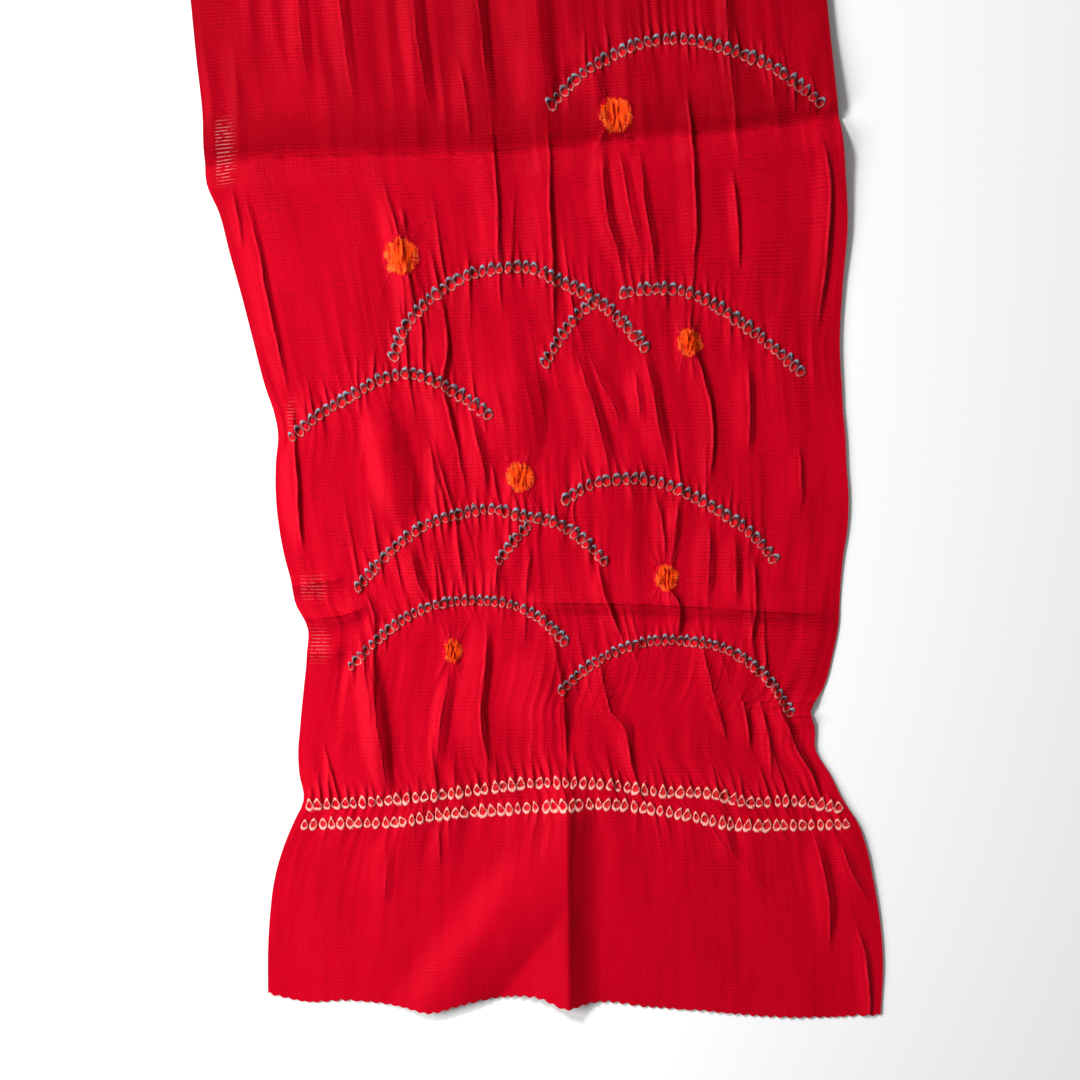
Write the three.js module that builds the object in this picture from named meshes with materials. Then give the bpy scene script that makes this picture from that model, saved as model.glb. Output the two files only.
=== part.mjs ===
// Shibori obiage: a long scarf of red silk gauze, tie-dyed in arcs at both ends.
// It lies straight out and face up on a flat surface, drawn in along its dyed rows, with the
// folds that this leaves, and with the creases that it was stored in.
// Millimetres, +Z up. X runs across the cloth and Y along it. The origin is on the surface,
// under the middle of the cloth. The far end is the near end turned half round about it.
import * as THREE from "three";

// The cloth as it lies
const LENGTH = 1800;
const THICKNESS = 1;
const END_LENGTH = 440;      // patterned stretch at each end
const EDGE_SWAY_REACH = 60;  // how far in the waviness of the cut end dies out
const SILK_RED = 0xc8102e;

// Facets: narrow where the cloth is gathered, long in the plain middle
const COLUMNS = 28;
const END_ROWS = 30;
const MIDDLE_ROWS = 9;       // on each side of the cloth's middle

// Storage creases across the cloth, counted from a cut end
const FIRST_CREASE = 186;
const CREASE_PITCH = 204;
const CREASE_HALF_WIDTH = 30;
const CREASE_HEIGHT = 2.5;

// Outline of the near half. along: distance from the cut end. left and right: the two
// selvedges, from the line that runs along the middle of the whole cloth.
const outline = [
  { along: 0, left: -98.5, right: 177 },
  { along: 26, left: -98.5, right: 178 },
  { along: 45, left: -97.5, right: 176.5 },
  { along: 63, left: -95.5, right: 173.5 },
  { along: 77, left: -91.5, right: 170.5 },
  { along: 88, left: -87, right: 166.5 },
  { along: 98, left: -82.5, right: 160 },   // drawn in by the two straight rows
  { along: 110, left: -84.5, right: 154 },
  { along: 121, left: -85, right: 147.5 },
  { along: 138, left: -83.5, right: 146 },  // right edge nipped by the lowest arc
  { along: 148, left: -82.5, right: 151 },
  { along: 164, left: -81, right: 155.5 },
  { along: 177, left: -81, right: 158 },
  { along: 186, left: -86, right: 158.5 },
  { along: 207, left: -91, right: 160 },
  { along: 220, left: -93.5, right: 162 },
  { along: 234, left: -95, right: 162.5 },
  { along: 250, left: -95, right: 161.5 },
  { along: 263, left: -94, right: 161 },    // left edge drawn in by an arc
  { along: 283, left: -99.5, right: 159.5 },
  { along: 304, left: -105, right: 158.5 },
  { along: 326, left: -110.5, right: 160 },
  { along: 347, left: -116, right: 162 },
  { along: 364, left: -120, right: 161 },
  { along: 382, left: -126.5, right: 159 }, // storage crease
  { along: 409, left: -127.5, right: 156 },
  { along: 434, left: -130.5, right: 154 },
  { along: 500, left: -137, right: 149.5 },
  { along: 600, left: -142, right: 146 },
  { along: 750, left: -144.5, right: 145 },
  { along: 900, left: -145, right: 145 },
];

// Waviness of the cut end: across as left and right above, back as its distance from along 0
const cutEnd = [
  { across: -98.5, back: 10.5 },
  { across: -80, back: 7 },
  { across: -62, back: 7.5 },
  { across: -39, back: 5 },
  { across: -26, back: 2 },
  { across: -12, back: 5.5 },
  { across: 6, back: 9 },
  { across: 24, back: 8.5 },
  { across: 36, back: 4 },
  { across: 46, back: 6.5 },
  { across: 73, back: 4.5 },
  { across: 96, back: 3 },
  { across: 130, back: 0 },
  { across: 178, back: 1 },
];

// Raised folds of the near half. crest: the fold's top line, as [across, along] points.
// halfWidth: from the crest to where the cloth lies flat again. A fold runs out at its ends.
const folds = [
  { name: "middle crease, plain cloth", height: 4, halfWidth: 16,
    crest: [[18, 620], [24, 460], [27, 391], [28, 368], [30, 320]] },
  { name: "middle crease, cut end", height: 5, halfWidth: 22,
    crest: [[35, 150], [35, 107], [36, 50], [37, -20]] },
  { name: "crease beside the middle", height: 4, halfWidth: 15,
    crest: [[-8, 540], [-2, 434], [3, 391], [5, 368], [5, 335]] },
  { name: "short crease, far left", height: 3, halfWidth: 14,
    crest: [[-36, 520], [-31, 434], [-25, 402], [-20, 388]] },
  { name: "left selvedge, upper", height: 3, halfWidth: 15,
    crest: [[-110, 376], [-103, 346], [-98, 323], [-94, 296], [-89, 276]] },
  { name: "from the upper left knot", height: 4, halfWidth: 14,
    crest: [[-49, 378], [-40, 350], [-34, 323], [-31, 306], [-31, 288]] },
  { name: "long fold through three arcs", height: 5, halfWidth: 15,
    crest: [[-23, 336], [-19, 310], [-19, 290], [-17, 271], [-13, 254], [-9, 230]] },
  { name: "beside the long fold", height: 3.5, halfWidth: 13,
    crest: [[-9, 278], [-5, 260], [0, 232]] },
  { name: "broad fold, middle left", height: 5.5, halfWidth: 20,
    crest: [[-52, 276], [-47, 253], [-39, 222]] },
  { name: "left selvedge, lower", height: 4, halfWidth: 13,
    crest: [[-86, 262], [-85, 242], [-83, 218]] },
  { name: "above the right arc, left", height: 4, halfWidth: 15,
    crest: [[52, 396], [53, 373], [56, 352], [62, 330]] },
  { name: "above the right arc, right", height: 4.5, halfWidth: 15,
    crest: [[91, 416], [94, 373], [95, 350], [91, 328]] },
  { name: "right of the middle, plain cloth", height: 3.5, halfWidth: 15,
    crest: [[106, 500], [108, 434], [112, 395], [114, 370], [114, 333]] },
  { name: "right selvedge, upper", height: 4, halfWidth: 15,
    crest: [[152, 398], [154, 368], [153, 346], [150, 315]] },
  { name: "through the right knot", height: 5, halfWidth: 15,
    crest: [[93, 326], [92, 303], [98, 285], [102, 262], [99, 235]] },
  { name: "between the arcs, left", height: 4.5, halfWidth: 16,
    crest: [[39, 304], [46, 280], [51, 260], [55, 242]] },
  { name: "between the arcs, right", height: 4, halfWidth: 14,
    crest: [[69, 304], [75, 283], [78, 262], [83, 240]] },
  { name: "outer right", height: 3.5, halfWidth: 14,
    crest: [[118, 296], [118, 252]] },
  { name: "from the left arc's tail", height: 4.5, halfWidth: 14,
    crest: [[49, 206], [53, 190], [57, 180], [61, 166]] },
  { name: "from the lower right knot", height: 4, halfWidth: 13,
    crest: [[80, 198], [86, 186], [86, 168]] },
  { name: "lower right, upright", height: 3.5, halfWidth: 13,
    crest: [[121, 208], [120, 166]] },
  { name: "deep fold, lower left", height: 6.5, halfWidth: 18,
    crest: [[-54, 170], [-49, 148], [-46, 125], [-43, 97]] },
  { name: "under the puckered knot", height: 4, halfWidth: 14,
    crest: [[-16, 160], [-21, 134], [-23, 108]] },
  { name: "lower middle", height: 4.5, halfWidth: 14,
    crest: [[1, 180], [0, 152], [0, 130], [5, 105]] },
  { name: "curved fold under the lowest arc", height: 5, halfWidth: 14,
    crest: [[50, 165], [54, 141], [61, 130], [65, 108]] },
  { name: "under the lowest arc, right", height: 4, halfWidth: 14,
    crest: [[96, 172], [100, 148], [108, 124]] },
  { name: "slanting fold, lower right", height: 5, halfWidth: 15,
    crest: [[126, 152], [135, 132], [143, 116], [152, 97]] },
  { name: "soft swell, cut end left", height: 5, halfWidth: 26,
    crest: [[22, 78], [-3, 36], [-24, -16]] },
  { name: "cut end, right of the middle", height: 3, halfWidth: 15,
    crest: [[107, 88], [112, 72], [128, 54]] },
  { name: "cut end, far right", height: 4, halfWidth: 16,
    crest: [[146, 90], [151, 69], [154, 51], [156, 22]] },
];

// A value read from one of the tables above, eased between its rows
function readTable(table, keyName, valueName, key) {
  const last = table.length - 1;
  let row = 0;
  while (row < last - 1 && table[row + 1][keyName] < key) row += 1;
  const at = (index) => table[Math.min(Math.max(index, 0), last)];
  const start = at(row)[keyName];
  const span = at(row + 1)[keyName] - start;
  const share = Math.min(Math.max((key - start) / span, 0), 1);
  const slopeAt = (index) => {
    const rise = at(index + 1)[valueName] - at(index - 1)[valueName];
    return (rise / (at(index + 1)[keyName] - at(index - 1)[keyName])) * span;
  };
  const from = at(row)[valueName];
  const to = at(row + 1)[valueName];
  const square = share * share;
  const cube = square * share;
  return from * (2 * cube - 3 * square + 1) + slopeAt(row) * (cube - 2 * square + share)
    + to * (3 * square - 2 * cube) + slopeAt(row + 1) * (cube - square);
}

// Smooth hill: 1 at the middle, 0 from distance 1 outwards
function hill(distance) {
  if (distance >= 1) return 0;
  return Math.cos((Math.PI / 2) * distance) ** 2;
}

// How far a point is from a fold's crest line, and how far along that line, from 0 to 1
function nearestOnCrest(crest, across, along) {
  const lengths = crest.slice(1).map(([toAcross, toAlong], i) => {
    const [fromAcross, fromAlong] = crest[i];
    return Math.hypot(toAcross - fromAcross, toAlong - fromAlong);
  });
  const total = lengths.reduce((sum, length) => sum + length, 0);
  let best = { distance: Infinity, share: 0 };
  let walked = 0;
  lengths.forEach((length, i) => {
    const [startAcross, startAlong] = crest[i];
    const stepAcross = (crest[i + 1][0] - startAcross) / length;
    const stepAlong = (crest[i + 1][1] - startAlong) / length;
    const run = (across - startAcross) * stepAcross + (along - startAlong) * stepAlong;
    const held = THREE.MathUtils.clamp(run, 0, length);
    const offAcross = across - startAcross - held * stepAcross;
    const offAlong = along - startAlong - held * stepAlong;
    const distance = Math.hypot(offAcross, offAlong);
    if (distance < best.distance) best = { distance, share: (walked + held) / total };
    walked += length;
  });
  return best;
}

// Height of the cloth's underside over the surface, 0 where it touches
function lift(across, along) {
  let height = 0;
  for (const fold of folds) {
    const { distance, share } = nearestOnCrest(fold.crest, across, along);
    const runOut = Math.sqrt(Math.max(0, Math.sin(Math.PI * share)));
    height = Math.max(height, fold.height * runOut * hill(distance / fold.halfWidth));
  }
  for (let crease = FIRST_CREASE; crease < LENGTH / 2; crease += CREASE_PITCH) {
    height = Math.max(height, CREASE_HEIGHT * hill(Math.abs(along - crease) / CREASE_HALF_WIDTH));
  }
  return height;
}

// Underside point of the near half: share runs from 0 at the left selvedge to 1 at the right
function nearHalfPoint(share, along) {
  const left = readTable(outline, "along", "left", along);
  const right = readTable(outline, "along", "right", along);
  const across = left + (right - left) * share;
  const sway = readTable(cutEnd, "across", "back", across) * Math.max(0, 1 - along / EDGE_SWAY_REACH);
  return new THREE.Vector3(across, along + sway - LENGTH / 2, lift(across, along + sway));
}

// Point of the whole cloth's underside
function clothPoint(share, row) {
  if (row.nearHalf) return nearHalfPoint(share, row.along);
  const point = nearHalfPoint(1 - share, row.along);
  return new THREE.Vector3(-point.x, -point.y, point.z);
}

// Rows of facets, from the near cut end to the far one
function clothRows() {
  const near = [];
  for (let i = 0; i < END_ROWS; i += 1) {
    near.push({ nearHalf: true, along: (END_LENGTH * i) / END_ROWS });
  }
  const middleLength = LENGTH / 2 - END_LENGTH;
  for (let i = 0; i < MIDDLE_ROWS; i += 1) {
    near.push({ nearHalf: true, along: END_LENGTH + (middleLength * i) / MIDDLE_ROWS });
  }
  const far = near.map((row) => ({ nearHalf: false, along: row.along })).reverse();
  return [...near, { nearHalf: true, along: LENGTH / 2 }, ...far];
}

// The cloth as one closed sheet: an upper and a lower face, joined all round by its edge
function clothGeometry() {
  const rows = clothRows();
  const rowLength = COLUMNS + 1;
  const layer = rows.length * rowLength;
  const shares = Array.from({ length: rowLength }, (_, column) => column / COLUMNS);
  const lower = rows.flatMap((row) => shares.map((share) => clothPoint(share, row)));
  const upper = lower.map((point) => point.clone().setZ(point.z + THICKNESS));
  const faces = [];
  const addQuad = (a, b, c, d) => faces.push(a, b, c, a, c, d);

  for (let row = 0; row < rows.length - 1; row += 1) {
    for (let column = 0; column < COLUMNS; column += 1) {
      const a = row * rowLength + column;
      const [b, c, d] = [a + 1, a + rowLength + 1, a + rowLength];
      addQuad(a, d, c, b);
      addQuad(layer + a, layer + b, layer + c, layer + d);
    }
  }
  const border = [];
  for (let column = 0; column < COLUMNS; column += 1) border.push(column);
  for (let row = 0; row < rows.length - 1; row += 1) border.push(row * rowLength + COLUMNS);
  for (let column = COLUMNS; column > 0; column -= 1) border.push((rows.length - 1) * rowLength + column);
  for (let row = rows.length - 1; row > 0; row -= 1) border.push(row * rowLength);
  border.forEach((a, i) => {
    const b = border[(i + 1) % border.length];
    addQuad(a, b, layer + b, layer + a);
  });

  const geometry = new THREE.BufferGeometry().setFromPoints([...lower, ...upper]);
  geometry.setIndex(faces);
  geometry.computeVertexNormals();
  return geometry;
}

const silk = new THREE.MeshStandardMaterial({ color: SILK_RED, roughness: 0.6, metalness: 0 });
const cloth = new THREE.Mesh(clothGeometry(), silk);
cloth.name = "cloth";

const obiage = new THREE.Group();
obiage.add(cloth);

export default obiage;
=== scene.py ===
import math

import bpy
import numpy as np
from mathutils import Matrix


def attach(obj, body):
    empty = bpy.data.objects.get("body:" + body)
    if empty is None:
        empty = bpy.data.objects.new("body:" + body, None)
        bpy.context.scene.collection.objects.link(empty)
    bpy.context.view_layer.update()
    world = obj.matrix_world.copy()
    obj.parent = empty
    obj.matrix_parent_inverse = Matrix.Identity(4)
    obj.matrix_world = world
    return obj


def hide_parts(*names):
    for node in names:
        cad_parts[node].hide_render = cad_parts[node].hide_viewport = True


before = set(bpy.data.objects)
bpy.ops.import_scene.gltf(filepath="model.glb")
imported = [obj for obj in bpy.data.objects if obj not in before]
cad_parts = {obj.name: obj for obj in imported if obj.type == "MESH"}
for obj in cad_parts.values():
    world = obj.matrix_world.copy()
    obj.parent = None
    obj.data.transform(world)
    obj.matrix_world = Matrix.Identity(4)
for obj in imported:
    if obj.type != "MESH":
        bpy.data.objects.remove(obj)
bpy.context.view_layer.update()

# The cloth: one length of red silk ro gauze with a selvedge along each long side and a pinked cut
# at each end. It lies face up, drawn in along its dyed rows, which gather it into folds along it.
# Sizes are in millimetres. across counts from the line along its middle, along from a cut end.
MM = 0.001
LENGTH = 1800.0
FLAT_WIDTH = 292.0
FLAT_LENGTH = 1835.0
COLUMNS = 450
EDGE_SWAY_REACH = 60.0
PINK_PITCH = 4.4
PINK_DEPTH = 1.3
PINK_REACH = 4.0
PINK_CURVE = 1.4
FIRST_CREASE = 186.0
CREASE_PITCH = 204.0

# Selvedges of the near half, as along, left, right
OUTLINE = np.array([
    (0, -98.5, 177), (26, -98.5, 178), (45, -97.5, 176.5), (63, -95.5, 173.5), (77, -91.5, 170.5),
    (88, -87, 166.5), (98, -82.5, 160), (110, -84.5, 154), (121, -85, 147.5), (130, -84.2, 147.5),
    (138, -83.5, 145.5), (148, -82.5, 151), (164, -81, 155.5), (177, -81, 158), (186, -86, 158.5),
    (196, -88, 159), (207, -91, 160), (220, -93.5, 162), (234, -95, 162.5), (250, -95, 161.5),
    (263, -94, 161), (273, -96, 160), (283, -99.5, 159.5), (304, -105, 158.5), (326, -110.5, 160),
    (347, -116, 162), (364, -120, 161), (380, -126, 159.5), (392, -127, 157.5), (409, -127.5, 156),
    (434, -130.5, 154), (500, -137, 149.5), (600, -142, 146), (750, -144.5, 145), (900, -145, 145),
], float)

# How far the cut end lies back from along 0, as across, back
CUT_END = np.array([
    (-98.5, 10.5), (-80, 7), (-62, 7.5), (-39, 5), (-26, 2), (-12, 5.5), (6, 9), (24, 8.5),
    (36, 4), (46, 6.5), (73, 4.5), (96, 3), (130, 0), (178, 1),
], float)

# Folds that run along the near half: name, height, reach of the left flank, reach of the right
# one, and the crest as across, along points from the upper end down
FOLDS = [
    ("middle crease, plain", 2.4, 17, 9, [(16, 640), (24, 434), (27, 404), (28, 388)]),
    ("middle fold, above the arcs", 1.9, 14, 1.5,
     [(27, 404), (28, 390), (28, 368), (29, 345), (30, 318), (31, 300)]),
    ("middle crease, cut end", 5.5, 34, 15, [(35, 112), (36, 75), (36.5, 30), (37, -30)]),
    ("beside the middle, plain", 2.3, 14, 4.5, [(-8, 560), (-2, 434), (1, 413), (3, 390)]),
    ("beside the middle", 1.38, 12, 1.42, [(1, 413), (3, 390), (4.5, 368), (5, 340), (7, 312)]),
    ("plain, third from the left", 2.1, 9, 5.5, [(-37, 530), (-31, 434), (-28, 417), (-20, 388)]),
    ("plain, second from the left", 1.5, 9, 4.5, [(-70, 520), (-64, 434), (-58, 402)]),
    ("plain, first from the left", 1.2, 9, 5.0, [(-88, 510), (-83, 434), (-79, 412)]),
    ("plain, short", 0.75, 6, 1.88, [(-13, 432), (-11, 420), (-7, 392)]),
    ("left selvedge, upper", 1.27, 10, 2.33,
     [(-110, 376), (-103, 345), (-99, 323), (-94, 300), (-88, 276)]),
    ("left selvedge, outer", 0.63, 5, 1.42, [(-114, 374), (-110, 345)]),
    ("through the upper left knot", 1.61, 9, 1.88,
     [(-48, 380), (-43, 362), (-39, 348), (-34, 325), (-30, 312), (-29.5, 303), (-31.5, 286)]),
    ("beside that knot", 0.69, 4, 1.42, [(-38.5, 366), (-36, 348)]),
    ("long fold through three arcs", 1.96, 12, 1.58,
     [(-24, 340), (-20.5, 323), (-18.5, 308), (-18, 299), (-20, 289), (-19.5, 282), (-16.5, 269),
      (-13.5, 256), (-11, 244), (-8, 230)]),
    ("beside the long fold", 1.9, 9, 3.0, [(-10, 280), (-5.5, 262), (-2.5, 249), (0, 232)]),
    ("broad fold, middle left", 3.36, 10, 13, [(-53, 280), (-48, 258), (-43.5, 240), (-39, 218)]),
    ("between broad and long", 0.94, 5, 3, [(-26.5, 258), (-22.5, 234)]),
    ("left selvedge, middle", 1.73, 9, 1.58, [(-87, 266), (-86, 250), (-85, 235), (-84.5, 222), (-82, 206)]),
    ("above the right arc, 1", 2.0, 8, 3.8, [(52, 396), (52, 372), (54, 358), (58, 345), (63, 330)]),
    ("above the right arc, 2", 1.6, 8, 3.6, [(59, 394), (61, 380), (65, 359), (70, 336)]),
    ("above the right arc, 3", 1.4, 7, 3.2, [(68, 394), (70, 368), (74, 345), (76, 328)]),
    ("above the right arc, 4", 1.84, 9, 2.33, [(89, 424), (92, 390), (93, 372), (93.5, 350), (91, 328)]),
    ("plain, right of the middle", 1.5, 5, 3.6, [(103, 540), (108, 434), (110, 413), (112, 395), (114, 374)]),
    ("its lower end", 1.27, 5, 1.42, [(110, 382), (112, 365), (113.5, 334)]),
    ("right selvedge, upper", 1.73, 8, 2.33, [(149, 402), (153, 381), (153, 354), (151, 332), (148, 305)]),
    ("through the right knot", 1.84, 10, 1.42,
     [(93, 328), (91.5, 309), (93, 301), (96.5, 291), (99.5, 280), (101.5, 264), (101, 249), (98.5, 234)]),
    ("swell left of the arcs' meeting", 2.6, 24, 11, [(12, 300), (15, 289), (16, 262), (17, 246)]),
    ("between the arcs, 1", 2.4, 9, 4.2, [(38, 305), (43, 289), (47, 276), (51.5, 260), (56, 240)]),
    ("between the arcs, 2", 1.5, 7, 5.4, [(45, 302), (50, 287), (57, 274), (60, 262)]),
    ("between the arcs, 3", 2.2, 10, 4.4, [(69, 304), (73.5, 285), (76, 269), (78.5, 258), (84, 239)]),
    ("between the arcs, 4", 1.2, 6, 3.2, [(65.5, 294), (69, 266)]),
    ("outer right, upper", 1.6, 9, 3.4, [(117, 298), (117.5, 275), (117.5, 250)]),
    ("outer right, lower", 0.75, 6, 2.33, [(140, 260), (141.5, 228)]),
    ("from the left arc's tail", 1.84, 8, 1.42, [(49, 206), (53, 190), (56.5, 180), (62, 166)]),
    ("from the lower right knot", 1.61, 7, 1.58, [(80, 197), (85.5, 187), (85.5, 168)]),
    ("above that knot, left", 1.15, 6, 1.88, [(75, 238), (78.5, 222), (80, 203)]),
    ("above that knot, right", 1.5, 5, 3.0, [(86, 236), (84, 219), (82, 202)]),
    ("inside the right arc, 1", 1.27, 8, 3.6, [(100, 226), (99.5, 205), (98.5, 184)]),
    ("inside the right arc, 2", 1.4, 8, 3.2, [(111, 220), (112, 184)]),
    ("inside the right arc, 3", 1.27, 6, 2.33, [(119, 210), (120.5, 188), (118, 164)]),
    ("deep fold, lower left", 3.46, 9, 5.6, [(-55, 172), (-52, 147), (-49.5, 129), (-45, 96)]),
    ("from the puckered knot", 1.61, 5, 4.8, [(-16, 162), (-20, 143), (-22, 129), (-23, 106)]),
    ("lower middle", 2.3, 13, 3.4, [(0, 184), (-1, 161), (-3, 143), (-2.5, 127), (3, 105)]),
    ("swell beside it", 2.6, 22, 12, [(24, 170), (26, 145), (28, 118)]),
    ("under the arcs' meeting", 1.04, 5, 1.88, [(33.5, 150), (35, 130), (36, 110)]),
    ("curved, under the lowest arc", 1.7, 9, 3.0,
     [(50, 167), (52.5, 147), (55.5, 137.5), (61, 131), (63.5, 121.5), (65, 104)]),
    ("under the lowest arc, 2", 1.27, 4, 1.88, [(95, 172), (99.5, 154), (104, 136), (109, 120)]),
    ("under the lowest arc, 3", 1.27, 8, 1.42, [(112, 150), (116.5, 136), (118.5, 118)]),
    ("under the lowest arc, 4", 1.15, 5, 1.88, [(120, 150), (125.5, 129), (128, 104)]),
    ("slanting, lower right", 2.19, 9, 1.58, [(126, 152), (134, 133), (139, 121.5), (145.5, 110), (152, 95)]),
    ("soft swell, cut end left", 3.6, 26, 26, [(26, 86), (6, 46), (-11, 24), (-27, 0), (-34, -24)]),
    ("cut end, right, 1", 1.0, 7, 4.5, [(106, 88), (111.5, 72), (119, 64), (130, 53)]),
    ("cut end, right, 2", 1.61, 9, 3.6, [(145, 89), (150, 70), (153.5, 51), (153.5, 28)]),
    ("cut end, right, 3", 1.15, 6, 2.33, [(165, 46), (170, 26), (172, -10)]),
    ("cut end, right, 4", 0.98, 6, 3.0, [(158, 84), (164, 64), (173, 50)]),
    ("cut end, left, 1", 0.63, 5, 1.42, [(-22.5, 90), (-21, 66)]),
    ("cut end, left, 2", 0.81, 10, 4.8, [(-46, 84), (-46.5, 50)]),
    ("between the lower arcs, 1", 0.69, 3, 1.42, [(20, 214), (18, 200), (17, 186)]),
    ("between the lower arcs, 2", 0.92, 4, 1.88, [(-15, 222), (-12.5, 206), (-10.5, 189)]),
    ("between the lower arcs, 3", 1.7, 7, 3.2, [(-35, 214), (-31, 195), (-24, 182)]),
    ("between the lower arcs, 4", 1.3, 6, 2.8, [(-56, 194), (-51, 179), (-51, 168)]),
    ("between the lower arcs, 5", 0.92, 5, 1.58, [(5.5, 207), (2, 187)]),
]

# Short ridges across the near half: height, upper flank, lower flank, crest from left to right
CROSS_RIDGES = [
    (4.2, 12, 6, [(10, 186), (24, 186), (60, 185.5), (96, 184), (118, 182.5), (160, 180)]),
    (3.4, 9, 6, [(-94, 178), (-84, 178.5), (-66, 180), (-52, 184)]),
    (2.3, 8, 4, [(-94, 163), (-80, 162.5), (-62, 163)]),
    (2.3, 8, 4, [(-97, 192), (-84, 193.5), (-62, 197)]),
    (1.6, 5, 5, [(134, 142), (142, 141), (152, 143)]),
    (1.6, 5, 5, [(134, 134), (142, 135), (152, 133)]),
]

# The sharp storage crease above the arcs, as across, along from left to right
VALLEY_CREASE = np.array([
    (-130, 383), (-110, 386), (-84, 387.5), (-17, 389), (28, 391.5), (60, 395), (96, 398),
    (160, 405.5),
], float)

# It lies aslant, and so the weave is drawn aslant with it, from a little below it
VALLEY_STATION = 388.0
SLANT_STATION = 290.0

# Dyed rows of the near half from left to right, as across, along points
ARC_ROWS = {
    "A": [(29, 411), (40, 422.5), (55, 432.5), (71, 439), (87, 440.5), (102.5, 437.5), (116, 433),
          (128, 428), (139.5, 420), (149.5, 412)],
    "B": [(-42, 298), (-39, 306.5), (-30, 319.5), (-21, 327.5), (-7.5, 335), (6, 337.5), (19.5, 338),
          (32, 332), (48, 324.5), (60.5, 314), (71, 302)],
    "C left": [(26, 295), (34, 308), (41, 317), (47.5, 322)],
    "C right": [(61, 326.5), (74, 328.5), (91.5, 326.5), (102.5, 321), (116, 312), (127.5, 303),
                (141, 291.5)],
    "D": [(-87.5, 262), (-77.5, 270.5), (-61, 280.5), (-44.5, 289), (-34.5, 290.5), (-23.5, 287),
          (-9.5, 279), (0.5, 272)],
    "E": [(35.5, 234), (46.5, 240.5), (60, 243), (73.5, 242.5), (92, 235.5), (107, 227), (120.5, 217),
          (128.8, 207.3)],
    "F": [(-58, 194.5), (-45, 209), (-30, 221), (-11.5, 227.5), (1.5, 229.5), (16, 226.5), (33, 222.5),
          (44, 215), (52.5, 206.2)],
    "G": [(5.5, 206.5), (11, 214), (18.5, 222)],
    "H": [(-61, 159), (-49, 171), (-34.5, 182), (-21, 187), (-4, 188.5), (11, 186.5), (26, 178.8),
          (35, 170)],
    "I": [(33.5, 148), (44, 157.5), (60, 166.5), (75.5, 170.5), (91.5, 170), (105, 167.5), (118.5, 160),
          (128, 151), (136.5, 138)],
}
PALE_ROWS = {
    "upper": [(-80, 96.5), (-46, 98.6), (-21, 101.2), (-3, 103.5), (15, 106), (51, 106), (78, 102.5),
              (102.5, 101.5), (116, 98), (136.5, 98.5), (158, 95.5)],
    "lower": [(-82, 87.7), (-64, 88.5), (-41.5, 88.8), (-21, 92.2), (1.5, 94), (26, 96), (60, 96.5),
              (87, 92.5), (114, 87.5), (134, 87.5), (162, 88)],
}

# Knots of tied and dyed cloth on the near half: across, along, radius
KNOTS = [
    (58, 405.5, 7.5), (-38.5, 342.5, 8), (91, 303.5, 6), (15, 243, 6.5), (80.8, 197.9, 5.5),
    (-15.3, 165, 4.2),
]

# Pitch of each arc's rings, and their size beside the largest
ARC_RINGS = {
    "A": (4.0, 1.0), "B": (3.85, 1.0), "C left": (3.9, 0.95), "C right": (3.9, 1.0), "D": (3.85, 0.98),
    "E": (4.1, 0.95), "F": (3.6, 0.9), "G": (3.5, 0.85), "H": (3.4, 0.84), "I": (3.35, 0.84),
}
PALE_PITCH = 4.0
PITCH_LUCK = 0.06
LINE_SAMPLES = 1500
PUCKER_REACH = 20.0

# Places near the left selvedge where the gauze is open enough to let the surface show, as left,
# right, low, high, how open
OPEN_PLACES = [
    (-122, -116, 376, 402, 0.6), (-90, -88, 266, 277, 0.3), (-84, -74, 189, 198, 0.28),
    (-80, -73, 162, 174, 0.3),
]


def eased(table, column, key):
    """A table's column read at key, smooth through the table's rows."""
    keys = table[:, 0]
    values = table[:, column]
    slopes = np.gradient(values, keys)
    row = np.clip(np.searchsorted(keys, key) - 1, 0, len(keys) - 2)
    span = keys[row + 1] - keys[row]
    t = np.clip((key - keys[row]) / span, 0, 1)
    rise = values[row] * (2 * t**3 - 3 * t**2 + 1) + values[row + 1] * (3 * t**2 - 2 * t**3)
    return rise + span * (slopes[row] * (t**3 - 2 * t**2 + t) + slopes[row + 1] * (t**3 - t**2))


def walk(points, pitch, size, rng):
    """Marks at an uneven pitch on the smooth line through points, as across, along, heading, size."""
    line = np.array(points, float)
    across = np.linspace(line[0, 0], line[-1, 0], LINE_SAMPLES)
    along = eased(line, 1, across)
    run = np.append(0, np.cumsum(np.hypot(np.diff(across), np.diff(along))))
    count = round(run[-1] / pitch) + 1
    step = run[-1] / (count - 1)
    marks = np.clip(np.arange(count) * step + rng.normal(0, PITCH_LUCK, count) * step, 0, run[-1])
    heading = np.arctan2(np.gradient(along), np.gradient(across))
    places = [np.interp(marks, run, part) for part in (across, along, heading)]
    return np.stack([*places, np.full(count, size)], axis=-1)


mark_luck = np.random.default_rng(4)
ARC_MARKS = {name: walk(row, *ARC_RINGS[name], mark_luck) for name, row in ARC_ROWS.items()}
PALE_MARKS = {name: walk(row, PALE_PITCH, 1.0, mark_luck) for name, row in PALE_ROWS.items()}
DYED_ROWS = [np.array(row, float) for row in [*ARC_ROWS.values(), *PALE_ROWS.values()]]
NOISE_CELLS = 256


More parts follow.
